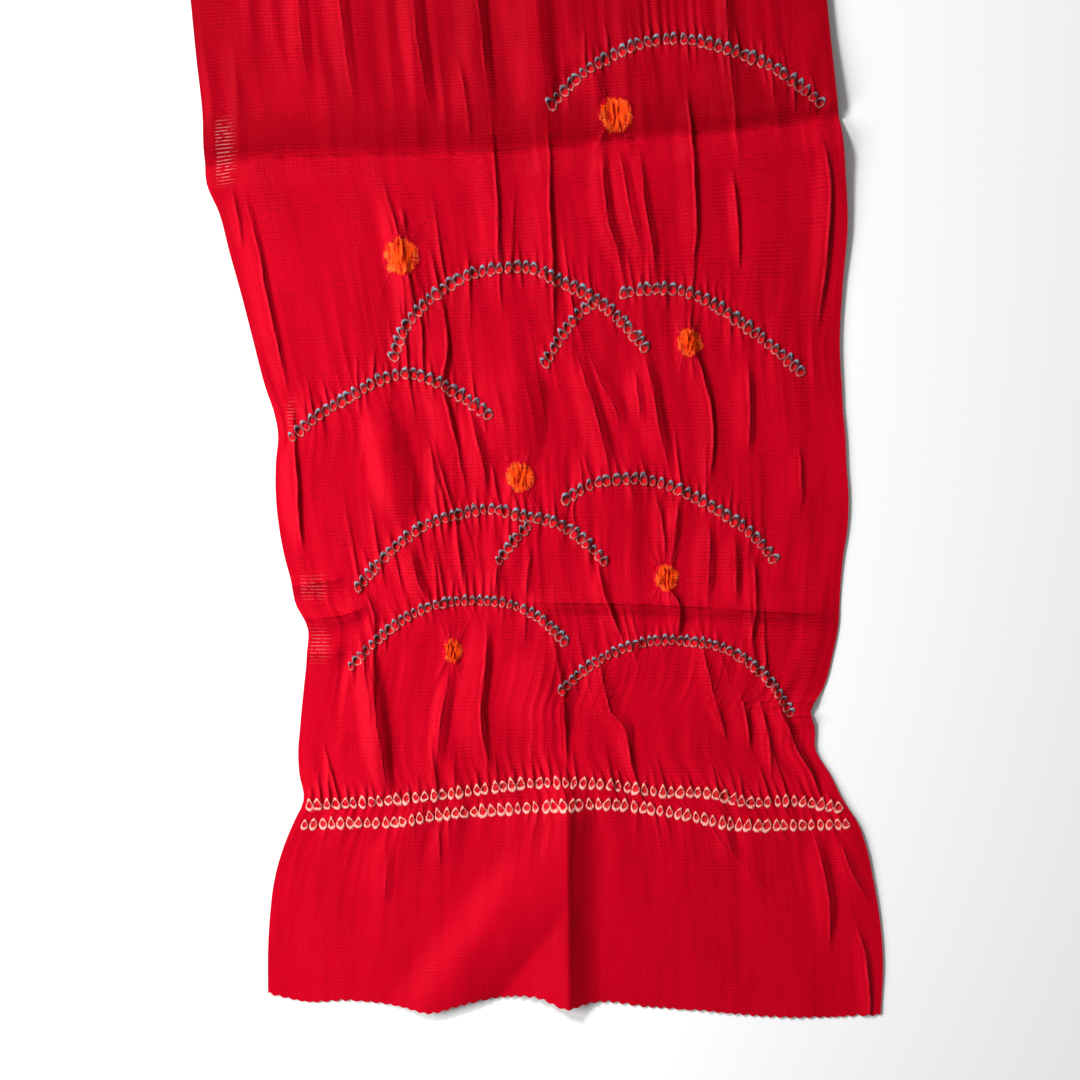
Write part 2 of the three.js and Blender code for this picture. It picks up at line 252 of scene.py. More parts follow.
def lattice_noise(x, y, seed):
    """Smooth noise from -1 to 1 with one hump to a unit."""
    cells = np.random.default_rng(seed).uniform(-1, 1, (NOISE_CELLS, NOISE_CELLS))
    left = np.floor(x).astype(int)
    low = np.floor(y).astype(int)
    u = x - left
    v = y - low
    u = u * u * (3 - 2 * u)
    v = v * v * (3 - 2 * v)

    def corner(i, j):
        return cells[(left + i) % NOISE_CELLS, (low + j) % NOISE_CELLS]

    bottom = corner(0, 0) * (1 - u) + corner(1, 0) * u
    top = corner(0, 1) * (1 - u) + corner(1, 1) * u
    return bottom * (1 - v) + top * v


CREASE_CURVE = 1.7


def crease_profile(offset, left, right):
    """Cut through a pressed crease: a sharp crest with hollow flanks, 0 past their reach."""
    reach = np.where(offset < 0, left, right)
    return np.clip(1 - np.abs(offset) / reach, 0, 1) ** CREASE_CURVE


def fold_profile(offset, left, right):
    """Cut through a soft fold: a long rise to a round crest and a short drop to a sharp foot."""
    rise = np.cos(np.clip(-offset / left, 0, 1) * math.pi / 2) ** 2
    drop = 1 - np.clip(offset / right, 0, 1) ** 2
    return np.where(offset < 0, rise, drop)


def run_out(share, soft):
    """Fades a fold in and out over its first and last stretch."""
    ends = np.clip(np.minimum(share, 1 - share) / soft, 0, 1)
    return ends * ends * (3 - 2 * ends)


def share_along(line, place):
    """How far place is along a line of points, from 0 at the first to 1 at the last."""
    return (place - line[0, 0]) / (line[-1, 0] - line[0, 0])


FLOW_REACH = 22.0
FLOW_CALM = 0.5
FOLD_FLOW = np.array([
    (lower[0] + (upper[0] - lower[0]) * share, lower[1] + (upper[1] - lower[1]) * share,
     (upper[0] - lower[0]) / (upper[1] - lower[1]))
    for fold in FOLDS for upper, lower in zip(fold[4], fold[4][1:]) for share in (0.25, 0.75)
])


def flow(across, along):
    """Lean of the folds round a place: how far they go across for each millimetre along."""
    apart = (FOLD_FLOW[:, 0] - across) ** 2 + (FOLD_FLOW[:, 1] - along) ** 2
    nearness = np.exp(-apart / FLOW_REACH**2)
    return nearness @ FOLD_FLOW[:, 2] / (nearness.sum() + FLOW_CALM)


# The small folds at the rings. Most are short and a few are long, and a long one stands higher.
PLEAT_SPACING = 3.1
PLEAT_REACHES = ((4, 10), (9, 20), (20, 46))
PLEAT_SHARES = (0.56, 0.34, 0.10)
PLEAT_LEAN_LUCK = 0.06
PLEAT_HEIGHTS = (0.4, 0.95)
LONG_PLEAT = 22.0
LONG_PLEAT_EXTRA = 0.8
SHORTEST_PLEAT = 3.0
KNOT_PLEAT_TURNS = np.arange(-35, 36, 14)
KNOT_PLEAT_LEAN = 0.7

# Of each row: side, how strong its pleats are there, how wide
ROW_SIDES = {name: ((1, 1.0, 0.7), (-1, 0.8, 0.7)) for name in ARC_ROWS}
ROW_SIDES |= {"upper": ((1, 1.2, 0.8), (-1, 0.4, 0.6)), "lower": ((1, 0.4, 0.6), (-1, 0.5, 1.0))}


def row_pleats(rng):
    """The small folds that run out from between the rings of each row, above it and below it, and
    from the knots, each as across, along, side, lean, height, width, reach."""
    found = []
    for name, marks in (ARC_MARKS | PALE_MARKS).items():
        last = -math.inf
        for across, along in (marks[:-1, :2] + marks[1:, :2]) / 2:
            if across - last < PLEAT_SPACING:
                continue
            last = across
            for side, strength, width in ROW_SIDES[name]:
                reach = rng.choice([rng.uniform(*ends) for ends in PLEAT_REACHES], p=PLEAT_SHARES)
                lean = flow(across, along + side * reach / 2) + rng.normal(0, PLEAT_LEAN_LUCK)
                top = rng.uniform(*PLEAT_HEIGHTS)
                top += rng.uniform(0, LONG_PLEAT_EXTRA) * min(reach / LONG_PLEAT, 1)
                wide = width * rng.uniform(0.8, 1.3)
                reach = max(reach * min(strength, 1), SHORTEST_PLEAT)
                found.append((across, along, side, lean, top * strength, wide, reach))
    for across, along, radius in KNOTS:
        for turn in np.radians(KNOT_PLEAT_TURNS + rng.uniform(-6, 6, len(KNOT_PLEAT_TURNS))):
            for side in (1, -1):
                place = (across + radius * math.sin(turn), along + side * radius * 0.8)
                lean = side * math.tan(turn) * KNOT_PLEAT_LEAN
                sizes = [rng.uniform(*ends) for ends in ((0.25, 0.75), (0.5, 0.8), (5, 15))]
                found.append((*place, side, lean, *sizes))
    return found


PLEATS = {"near": row_pleats(np.random.default_rng(11)), "far": row_pleats(np.random.default_rng(23))}


def share_across(across, along):
    """How far across the cloth a place is, from 0 at the left selvedge to 1 at the right."""
    left = eased(OUTLINE, 1, along)
    right = eased(OUTLINE, 2, along)
    return (across - left) / (right - left)


def row_distance(across, along):
    """Distance to the nearest dyed row."""
    nearest = np.full_like(across, 1000.0)
    for line in DYED_ROWS:
        place = np.clip(across, line[0, 0], line[-1, 0])
        slope = np.interp(place, line[:, 0], np.gradient(line[:, 1], line[:, 0]))
        rise = (along - eased(line, 1, place)) / np.sqrt(1 + slope**2)
        nearest = np.minimum(nearest, np.hypot(rise, across - place))
    return nearest


# How high the cloth lies where it is flat, how softly it lifts off the surface, from what height
# its folds are pressed down, and how far past that they reach
REST_HEIGHT = 0.8
LIFT_SOFTNESS = 0.36
FLATTEN_FROM = 5.1
FLATTEN_BY = 1.8

# Over how much of its run each kind fades in and out, and how a leaning fold's short side widens
FOLD_FADE = 0.35
CREASE_FADE = 0.15
RIDGE_FADE = 0.2
LEAN_SPREAD = 2.4

# A pleat widens along its run and gets lower. Its sides are wide by so many times its width.
PLEAT_SPREAD = 0.7
PLEAT_CURVE = 1.2
PLEAT_LONG_SIDE = 3.4
PLEAT_SHORT_SIDE = 1.25

# The dull storage creases in the middle of the cloth, which are mountains and valleys by turns
STORAGE_HEIGHT = 2.0
MOUNTAIN_REACH = 22.0
MOUNTAIN_CURVE = 1.8
VALLEY_REACH = 14.0

# The sharp one above the arcs: rise and width of its two sides, then of the broad swells past
# them. Its upper side is higher and broader on the left, where CREASE_LEFT says all and none.
CREASE_LEFT = (-54, 36)
CREASE_RISE = 3.6
CREASE_RISE_LEFT = 1.8
CREASE_SIDE_ABOVE = 8.0
CREASE_SIDE_LEFT = 6.0
CREASE_SIDE_BELOW = 14.0
CREASE_SETTLE = 24.0
SWELL_ABOVE = (1.8, 60.0)
SWELL_BELOW = (0.6, 45.0)

# The tied rows hold the cloth down, and it swells between them
ROW_GRIP = 3.2
ROW_GRIP_SHARE = 0.5
ROW_SWELL = 0.55
ROW_SWELL_FROM = 3.0
ROW_SWELL_REACH = 14.0

# Small unevenness: where it is, height, one hump's size across and along, seed, if it has ridges.
# That of the far half has other seeds. The plain gauze past the crease starts and ends softly.
RUMPLES = [
    ("all", 0.35, 14, 60, 5, False), ("rows", 0.45, 14, 60, 5, False),
    ("rows", 0.45, 6.5, 38, 10, False), ("rows", 0.38, 5.2, 30, 6, True),
    ("rows", 0.07, 2.3, 24, 9, True), ("plain", 0.6, 10.5, 80, 12, True),
    ("all", 0.10, 6, 11, 7, False),
]
FAR_SEEDS = 3
PLAIN_STRETCH = (382, 402, 480, 640)


def lie(across, along, half):
    """Height of the cloth over the surface, in millimetres, at points of one half."""
    height = np.zeros_like(across)
    for name, top, left, right, crest in FOLDS:
        line = np.array(sorted((b, a) for a, b in crest), float)
        inside = (along > line[0, 0]) & (along < line[-1, 0])
        place = along[inside]
        crest_line = eased(line, 1, place)
        offset = across[inside] - crest_line
        lean = np.abs(eased(line, 1, place + 1) - crest_line)
        creased = "crease" in name
        fade = run_out(share_along(line, place), CREASE_FADE if creased else FOLD_FADE)
        spread = 0.5 + 0.5 * fade
        profile = crease_profile if creased else fold_profile
        right = right * spread + LEAN_SPREAD * lean
        height[inside] += top * fade * profile(offset, left * spread, right)

    for top, upper, lower, crest in CROSS_RIDGES:
        line = np.array(crest, float)
        inside = (across > line[0, 0]) & (across < line[-1, 0])
        place = across[inside]
        offset = eased(line, 1, place) - along[inside]
        fade = run_out(share_along(line, place), RIDGE_FADE)
        height[inside] += top * fade * crease_profile(offset, upper, lower)

    for crease in np.arange(FIRST_CREASE + 2 * CREASE_PITCH, LENGTH / 2, CREASE_PITCH):
        mountain = round((crease - FIRST_CREASE) / CREASE_PITCH) % 2 == 0
        offset = np.abs(along - crease)
        if mountain:
            height += STORAGE_HEIGHT * np.clip(1 - offset / MOUNTAIN_REACH, 0, 1) ** MOUNTAIN_CURVE
        else:
            height += STORAGE_HEIGHT * (offset / VALLEY_REACH) * np.exp(1 - offset / VALLEY_REACH)

    offset = along - eased(VALLEY_CREASE, 1, across)
    above = offset > 0
    offset = np.abs(offset)
    leftness = np.interp(across, CREASE_LEFT, (1, 0))
    side = np.where(above, CREASE_SIDE_ABOVE + CREASE_SIDE_LEFT * leftness, CREASE_SIDE_BELOW)
    rise = np.where(above, CREASE_RISE + CREASE_RISE_LEFT * leftness, CREASE_RISE)
    rise = rise * np.sin(np.clip(offset / side, 0, 1) * math.pi / 2)
    height += rise * np.exp(-np.clip(offset - side, 0, None) / CREASE_SETTLE)
    swell, broad = [np.where(above, *ends) for ends in zip(SWELL_ABOVE, SWELL_BELOW)]
    height += swell * (offset / broad) * np.exp(1 - offset / broad)

    distance = row_distance(across, along)
    height *= 1 - ROW_GRIP_SHARE * np.exp(-(distance / ROW_GRIP) ** 2)
    height += ROW_SWELL * (1 - np.exp(-distance / ROW_SWELL_FROM)) * np.exp(-distance / ROW_SWELL_REACH)

    for across0, along0, side, lean, top, width, reach in PLEATS[half]:
        run = (along - along0) * side / reach
        beside = np.abs(across - across0) < 6 + 0.5 * reach
        inside = np.flatnonzero((run > -0.08) & (run < 1) & beside)
        run = np.clip(run[inside], 0, 1)
        offset = across[inside] - across0 - lean * (along[inside] - along0)
        wide = width * (1 + PLEAT_SPREAD * run)
        profile = fold_profile(offset + wide, PLEAT_LONG_SIDE * wide, PLEAT_SHORT_SIDE * wide)
        height[inside] += top * (1 - run) ** PLEAT_CURVE * profile

    flat = share_across(across, along) * FLAT_WIDTH
    places = {
        "all": 1.0,
        "rows": np.exp(-distance / PUCKER_REACH),
        "plain": np.interp(along, PLAIN_STRETCH, (0, 1, 1, 0)),
    }
    for where, top, hump_across, hump_along, seed, ridged in RUMPLES:
        seed += FAR_SEEDS if half == "far" else 0
        noise = lattice_noise(flat / hump_across, along / hump_along, seed)
        height += top * places[where] * (1 - 2 * np.abs(noise) if ridged else noise)
    height += REST_HEIGHT
    height = (height + np.sqrt(height**2 + LIFT_SOFTNESS)) / 2
    over = np.clip(height - FLATTEN_FROM, 0, None)
    return height - over + FLATTEN_BY * (1 - np.exp(-over / FLATTEN_BY))


# The sharp edges, which the mesh is too coarse for, are given to the material as distances. Up to
# THIN_SIDE, a fold's short side makes such an edge.
FAR_OFF = 9.0
EDGE_REACH = 2.3
EDGE_FADE = 0.9
THIN_SIDE = 6.0
CREASE_SHARPNESS = 1.5
RIDGE_SHARPNESS = 0.3
CREASE_EDGE_REACH = 5.0


def nearest_edges(across, along, half):
    """Signed distance past the sharp edge of the nearest thin fold, odd pleat and even pleat, and
    how sharp each is. Pleats next to each other go in different columns, so they stay apart."""
    past = np.full((len(across), 3), FAR_OFF)
    sharp = np.zeros((len(across), 3))

    def note(column, inside, offset, amount):
        closer = np.abs(offset) < np.abs(past[inside, column])
        near_enough = np.clip((EDGE_REACH - np.abs(offset)) / EDGE_FADE, 0, 1)
        past[inside[closer], column] = offset[closer]
        sharp[inside[closer], column] = (amount * near_enough)[closer]

    for _, top, _, right, crest in FOLDS:
        if right < THIN_SIDE:
            line = np.array(sorted((b, a) for a, b in crest), float)
            inside = np.flatnonzero((along > line[0, 0]) & (along < line[-1, 0]))
            place = along[inside]
            fade = run_out(share_along(line, place), 0.3)
            reach = min(right, 2.0) * (0.5 + 0.5 * fade)
            crisp = min(top, 1.6) * min(2.2 / right, 1)
            note(0, inside, across[inside] - eased(line, 1, place) - reach / 2, crisp * fade)

    for number, (across0, along0, side, lean, top, width, reach) in enumerate(PLEATS[half]):
        run = (along - along0) * side / reach
        beside = np.abs(across - across0) < 3 + 0.5 * reach
        inside = np.flatnonzero((run > -0.05) & (run < 1) & beside)
        run = np.clip(run[inside], 0, 1)
        offset = across[inside] - across0 - lean * (along[inside] - along0) + 0.4 * width
        note(1 + number // 2 % 2, inside, offset, top * (1 - run) ** 0.8)
    return past, sharp


def nearest_crease(across, along):
    """Signed distance past the nearest crease across the cloth, and how sharp it is."""
    past = along - eased(VALLEY_CREASE, 1, across)
    sharp = CREASE_SHARPNESS * np.clip((CREASE_EDGE_REACH - np.abs(past)) / 2, 0, 1)
    for top, _, _, crest in CROSS_RIDGES:
        line = np.array(crest, float)
        place = np.clip(across, line[0, 0], line[-1, 0])
        offset = eased(line, 1, place) - along + 0.6
        fade = RIDGE_SHARPNESS * top * run_out(share_along(line, place), RIDGE_FADE)
        fade *= np.clip((CREASE_EDGE_REACH - np.abs(offset)) / 2, 0, 1)
        closer = (np.abs(offset) < np.abs(past)) & (fade > 0)
        past = np.where(closer, offset, past)
        sharp = np.where(closer, fade, sharp)
    return past, sharp


def half_points(share, station, half):
    """Points of the cloth of one half from its share across and its station along the weave."""
    left = eased(OUTLINE, 1, station)
    right = eased(OUTLINE, 2, station)
    across = left + (right - left) * share
    along = station + eased(CUT_END, 1, across) * np.clip(1 - station / EDGE_SWAY_REACH, 0, 1)
    slant = eased(VALLEY_CREASE, 1, across) - VALLEY_STATION
    around = np.clip((station - SLANT_STATION) / (2 * (VALLEY_STATION - SLANT_STATION)), 0, 1)
    along += slant * run_out(around, 0.5)
    flat = share * FLAT_WIDTH
    tooth = flat / PINK_PITCH + 0.25 * lattice_noise(flat / 12, 0 * flat, 3)
    tooth = np.abs(tooth % 1 * 2 - 1) ** PINK_CURVE
    depth = PINK_DEPTH * (0.75 + 0.35 * lattice_noise(flat / 9, 0 * flat, 4))
    along += depth * tooth * np.clip(1 - station / PINK_REACH, 0, 1)
    return place_half(across, along, lie(across, along, half), half)


def place_half(across, along, height, half):
    """Points of one half in the whole cloth's frame: the far half is the near one turned round."""
    points = np.stack([across, along - LENGTH / 2, height], axis=-1)
    return points if half == "near" else points * np.array([-1, -1, 1])


# Rows of the grid: where a stretch begins, and how many rows it has. They are close together at
# the pinked cut and at the storage creases.
ROW_STRETCHES = [
    (0, 4), (4, 52), (178, 9), (194, 54), (374, 14), (396, 10), (440, 5), (580, 4), (610, 4), (780, 4),
    (816, 4), (1250, 2), (1360, 5), (1404, 5), (1426, 21), (1606, 4), (1622, 18), (1796, 3), (1800, 0),
]
stations = np.concatenate([
    np.linspace(start, end, rows, endpoint=False)
    for (start, rows), (end, _) in zip(ROW_STRETCHES, ROW_STRETCHES[1:])
] + [[LENGTH]])

bpy.ops.object.select_all(action="DESELECT")
bpy.ops.mesh.primitive_grid_add(
    x_subdivisions=COLUMNS, y_subdivisions=len(stations) - 1, size=2, calc_uvs=False)
cloth = bpy.context.active_object
cloth.name = "silk_cloth"
mesh = cloth.data
flat_places = np.empty(len(mesh.vertices) * 3)
mesh.vertices.foreach_get("co", flat_places)
flat_places = flat_places.reshape(-1, 3)
share = (flat_places[:, 0] + 1) / 2
row_number = np.rint((flat_places[:, 1] + 1) / 2 * (len(stations) - 1)).astype(int)
station = stations[row_number]
points = np.empty_like(flat_places)
near = station <= LENGTH / 2
points[near] = half_points(share[near], station[near], "near")
points[~near] = half_points(1 - share[~near], LENGTH - station[~near], "far")
mesh.vertices.foreach_set("co", (points * MM).ravel())


def set_map(mesh, name, places):
    """A UV map that gives each vertex one place."""
    layer = mesh.uv_layers.new(name=name)
    corner_vertex = np.empty(len(mesh.loops), int)
    mesh.loops.foreach_get("vertex_index", corner_vertex)
    layer.data.foreach_set("uv", places[corner_vertex].ravel())


def set_amount(mesh, name, amounts):
    """A number for each vertex, for the material to read."""
    layer = mesh.attributes.new(name=name, type="FLOAT", domain="POINT")
    layer.data.foreach_set("value", amounts)


def set_places(mesh, name, places):
    """Three numbers for each vertex."""
    layer = mesh.attributes.new(name=name, type="FLOAT_VECTOR", domain="POINT")
    layer.data.foreach_set("vector", places.ravel())


def set_weave(mesh, share, station):
    """The weave map, which counts metres of flat cloth, across and along."""
    places = [share * FLAT_WIDTH, station * FLAT_LENGTH / LENGTH]
    set_map(mesh, "weave", np.stack(places, axis=-1) * MM)


set_weave(mesh, share, station)
turned = np.where(near, 1, -1)
spot_across = points[:, 0] * turned
spot_along = np.where(near, points[:, 1] + LENGTH / 2, LENGTH / 2 - points[:, 1])
open_weave = np.zeros(len(points))
for left, right, low, high, amount in OPEN_PLACES:
    beside = np.minimum((spot_across - left) / 0.8, (right - spot_across) / 4.5 + 0.9)
    beside = np.clip(beside, 0, 1) ** 1.5
    between = np.clip(np.minimum(spot_along - low, high - spot_along) / 6 + 0.4, 0, 1)
    open_weave = np.maximum(open_weave, amount * beside * between)
set_amount(mesh, "open_weave", open_weave)
set_amount(mesh, "pucker", np.exp(-row_distance(spot_across, spot_along) / PUCKER_REACH))
past = np.empty((len(points), 3))
sharp = np.empty((len(points), 3))
past[near], sharp[near] = nearest_edges(spot_across[near], spot_along[near], "near")
past[~near], sharp[~near] = nearest_edges(spot_across[~near], spot_along[~near], "far")
set_places(mesh, "past_edges", past)
set_places(mesh, "edge_sharpness", sharp)
past, sharp = nearest_crease(spot_across, spot_along)
set_amount(mesh, "past_crease", past)
set_amount(mesh, "crease_sharpness", sharp)
mesh.update()
bpy.ops.object.shade_smooth()


def add(tree, kind, inputs, **settings):
    """A shader node with its settings, and its inputs given as values or as other nodes' outputs."""
    made = tree.nodes.new("ShaderNode" + kind)
    for name, value in settings.items():
        setattr(made, name, value)
    for place, value in inputs.items():
        if isinstance(value, bpy.types.NodeSocket):
            tree.links.new(value, made.inputs[place])
        else:
            made.inputs[place].default_value = value
    return made.outputs


def sum_up(tree, operation, first, second=0.0, third=0.0):
    """One step of arithmetic."""
    return add(tree, "Math", {0: first, 1: second, 2: third}, operation=operation)["Value"]


def times(tree, first, second):
    """Product of two amounts."""
    return sum_up(tree, "MULTIPLY", first, second)


def attribute(tree, name):
    """A number that the mesh has for each vertex."""
    return add(tree, "Attribute", {}, attribute_name=name)["Fac"]


def attribute_parts(tree, name):
    """Three numbers that the mesh has for each vertex, as X, Y and Z."""
    places = add(tree, "Attribute", {}, attribute_name=name)["Vector"]
    return add(tree, "SeparateXYZ", {0: places})


def step_up(tree, value, low, high, start=0.0, end=1.0):
    """Rises smoothly from start to end as value goes from low to high."""
    ends = {"Value": value, "From Min": low, "From Max": high, "To Min": start, "To Max": end}
    return add(tree, "MapRange", ends, interpolation_type="SMOOTHSTEP")["Result"]


def speckle(tree, places, scale, detail=2.0):
    """Plain noise from 0 to 1 over two-dimensional places, scale humps to a unit on each axis."""
    spread = add(tree, "VectorMath", {0: places, 1: (*scale, 1.0)}, operation="MULTIPLY")["Vector"]
    sizes = {"Vector": spread, "Scale": 1.0, "Detail": detail}
    return add(tree, "TexNoise", sizes, noise_dimensions="2D")[0]


def blend_colours(tree, amount, first, second):
    """first where amount is 0 and second where it is 1."""
    mixed = tree.nodes.new("ShaderNodeMix")
    mixed.data_type = "RGBA"
    for place, value in ((0, amount), (6, first), (7, second)):
        if isinstance(value, bpy.types.NodeSocket):
            tree.links.new(value, mixed.inputs[place])
        else:
            mixed.inputs[place].default_value = value
    return mixed.outputs[2]


CRIMSON = (0.515, 0.0005, 0.012, 1)
DEEP_CRIMSON = (0.32, 0.0002, 0.006, 1)
FOLD_SHADE = (0.15, 0.0001, 0.002, 1)
# Painted highlight for the crests of folds
CREST_HIGHLIGHT_CRIMSON = (0.76, 0.012, 0.035, 1)
BACKING_PALE = (0.80, 0.38, 0.36, 1)
RO_PITCH = 1.6
RO_WANDER = 1.5
SELVEDGE_WIDTH = 5.0
SELVEDGE_FADE = 0.8

# Unevenness of the weave: humps to a millimetre across and along, detail
WEAVE_NOISE = {
    "wander": ((0.035, 0.09), 2.0), "clear": ((0.035, 0.06), 3.0), "broken": ((0.40, 0.62), 2.0),
    "grain": ((1.25, 1.25), 2.0), "streak": ((0.8, 0.045), 2.0), "patch": ((0.035, 0.014), 1.0),
    "band": ((0.19, 0.02), 2.0), "fine": ((0.34, 0.035), 1.0), "sway": ((0.16, 0.07), 3.0),
    "uneven_edges": ((0.1, 0.09), 2.0), "gaps": ((0.3, 0.62), 3.0),
}

# What each gives to the relief, in millimetres, and to the depth of the dye
WEAVE_RELIEF = {"rows": 0.075, "grain": 0.12, "streak": 0.05, "fine": -0.25}
WEAVE_TONE = {"rows": -0.46, "grain": 0.7, "streak": 0.25, "patch": 1.0, "band": 0.9}

# Bands of darker dye that are painted shade, by distance from the cut end: from and to where one
# sets in, how dark it is, where it is gone and where that begins. The first darkens the cloth
# above the sharp storage crease, and the second lies along that crease.
PAINTED_SHADE_BANDS = [(397, 407, 0.5, 680, 450), (396.5, 399, 0.55, 421, 403)]
LIP_RELIEF = 0.40
DARKEST_HOLLOW_SHADE = 0.7


def gauze(tree):
    """Colour of the silk gauze and its relief in millimetres: rows of ro weave, crepe grain,
    streaks along the warp, and a plain dense selvedge. It also has painted shade in the hollows of
    sharp folds and over bands of the cloth, and painted highlights on the crests of the folds."""
    weave = add(tree, "UVMap", {}, uv_map="weave")["UV"]
    flat = add(tree, "VectorMath", {0: weave, "Scale": 1 / MM}, operation="SCALE")["Vector"]
    parts = add(tree, "SeparateXYZ", {0: flat})

    def noise(name):
        return speckle(tree, flat, *WEAVE_NOISE[name])

    def uneven(name):
        return sum_up(tree, "SUBTRACT", noise(name), 0.5)

    row_place = sum_up(tree, "MULTIPLY_ADD", noise("wander"), RO_WANDER, parts["Y"])
    row = sum_up(tree, "SINE", times(tree, row_place, 2 * math.pi / RO_PITCH))
    aside = sum_up(tree, "ABSOLUTE", sum_up(tree, "SUBTRACT", parts["X"], FLAT_WIDTH / 2))
    selvedge = FLAT_WIDTH / 2 - SELVEDGE_WIDTH
    body = step_up(tree, aside, selvedge, selvedge - SELVEDGE_FADE)
    clear = step_up(tree, noise("clear"), 0.40, 0.60, 0.15, 1.15)
    broken = step_up(tree, noise("broken"), 0.34, 0.62, 0.1, 1.1)
    away = sum_up(tree, "ABSOLUTE", sum_up(tree, "SUBTRACT", parts["Y"], FLAT_LENGTH / 2))
    from_end = sum_up(tree, "SUBTRACT", FLAT_LENGTH / 2, away)
    calm = step_up(tree, from_end, 60, 200, 0.55, 1.0)
    row_depth = times(tree, times(tree, clear, broken), times(tree, body, calm))
    fine = sum_up(tree, "ABSOLUTE", uneven("fine"))
    weave_parts = {name: uneven(name) for name in ("grain", "streak", "patch", "band")}
    weave_parts["rows"] = times(tree, row, row_depth)
    weave_parts["fine"] = times(tree, fine, attribute(tree, "pucker"))

    relief = 0.0
    for name, amount in WEAVE_RELIEF.items():
        relief = sum_up(tree, "MULTIPLY_ADD", weave_parts[name], amount, relief)
    # Painted shade: the dye deepens from the cut end towards the middle of the length
    tone = step_up(tree, from_end, 120, 480, 0.02, 0.22)
    # Painted shade: each band darkens the dye
    for start, full, dull, gone, last in PAINTED_SHADE_BANDS:
        dull_band = step_up(tree, from_end, start, full, 0.0, dull)
        dull_band = times(tree, dull_band, step_up(tree, from_end, gone, last))
        tone = sum_up(tree, "ADD", tone, dull_band)
    for name, amount in WEAVE_TONE.items():
        tone = sum_up(tree, "MULTIPLY_ADD", weave_parts[name], amount, tone)
    colour = blend_colours(tree, tone, CRIMSON, DEEP_CRIMSON)

    # Of each kind of edge: distance past it, sharpness, how far it sways, how dark the painted shade
    # in its hollow is, how strongly a painted highlight lightens its crest
    past = attribute_parts(tree, "past_edges")
    sharp = attribute_parts(tree, "edge_sharpness")
    edges = [
        (past["X"], sharp["X"], 2.0, 0.34, 0.3), (past["Y"], sharp["Y"], 2.0, 0.26, 0.25),
        (past["Z"], sharp["Z"], 2.0, 0.26, 0.25),
        (attribute(tree, "past_crease"), attribute(tree, "crease_sharpness"), 0.6, 0.30, 0.0),
    ]
    sway = uneven("sway")
    uneven_edges = step_up(tree, noise("uneven_edges"), 0.3, 0.65, 0.45, 1.1)
    for past_edge, sharpness, wander, hollow_shade_strength, crest_highlight in edges:
        place = sum_up(tree, "MULTIPLY_ADD", sway, wander, past_edge)
        amount = times(tree, sharpness, uneven_edges)
        lip = times(tree, step_up(tree, place, -2.2, -0.5), step_up(tree, place, 0.5, -0.5))
        lip = times(tree, lip, amount)
        relief = sum_up(tree, "MULTIPLY_ADD", lip, LIP_RELIEF, relief)
        # Painted highlight: the dye is lightened along each crest
        colour = blend_colours(tree, times(tree, lip, crest_highlight), colour, CREST_HIGHLIGHT_CRIMSON)
        # Painted shade: the dye is darkened in the hollow past each sharp edge
        hollow = times(tree, step_up(tree, place, -1.0, 0.3), step_up(tree, place, 2.1, 0.4))
        hollow = times(tree, times(tree, hollow, amount), hollow_shade_strength)
        hollow = sum_up(tree, "MINIMUM", hollow, DARKEST_HOLLOW_SHADE)
        colour = blend_colours(tree, hollow, colour, FOLD_SHADE)

    gaps = times(tree, step_up(tree, row, 0.62, 1.0), step_up(tree, noise("gaps"), 0.34, 0.5))
    gaps = times(tree, gaps, attribute(tree, "open_weave"))
    return blend_colours(tree, gaps, colour, BACKING_PALE), relief


def silk_finish(name, paint):
    """A silk material whose colour and relief paint gives. The soft sheen is tinted by the dye."""
    material = bpy.data.materials.new(name)
    material.use_nodes = True
    tree = material.node_tree
    shader = tree.nodes["Principled BSDF"]
    shader.inputs["Roughness"].default_value = 0.52
    shader.inputs["Specular IOR Level"].default_value = 0.3
    shader.inputs["Specular Tint"].default_value = (1, 0.04, 0.08, 1)
    colour, relief = paint(tree)
    bump = add(tree, "Bump", {"Height": relief, "Strength": 1.0, "Distance": MM})["Normal"]
    tree.links.new(colour, shader.inputs["Base Color"])
    tree.links.new(bump, shader.inputs["Normal"])
    return material


cloth.data.materials.append(silk_finish("red_silk_gauze", gauze))
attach(cloth, "root")
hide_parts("cloth")

# The arcs: rows of small tied rings. Each was pinched up and bound with thread before dyeing, so it
# stands as a puff with a pointed cap, a blue-grey line where the thread ran, and red inside.
RING_SEGMENTS = 12
RING_BANDS = (0.55, 0.85, 1.05, 1.4)
RING_DROP = 0.8
RING_TURN = 0.65
ARC_RING_WIDTH = 2.0
ARC_RING_HEIGHT = 2.5

# Height of the puff at a ring's middle and at its bands, and of the cap on its upper side. Past
# MARK_EDGE, in radii, a ring or knot goes under the cloth.
RING_RIM = (0.12, 0.2, 1.0, 0.85, -0.3)
RING_CAP = (0, 0.165, 1.1, 0.99, 0)
MARK_EDGE = 1.2
RING_UNDER = -0.3
LOWEST = 0.02


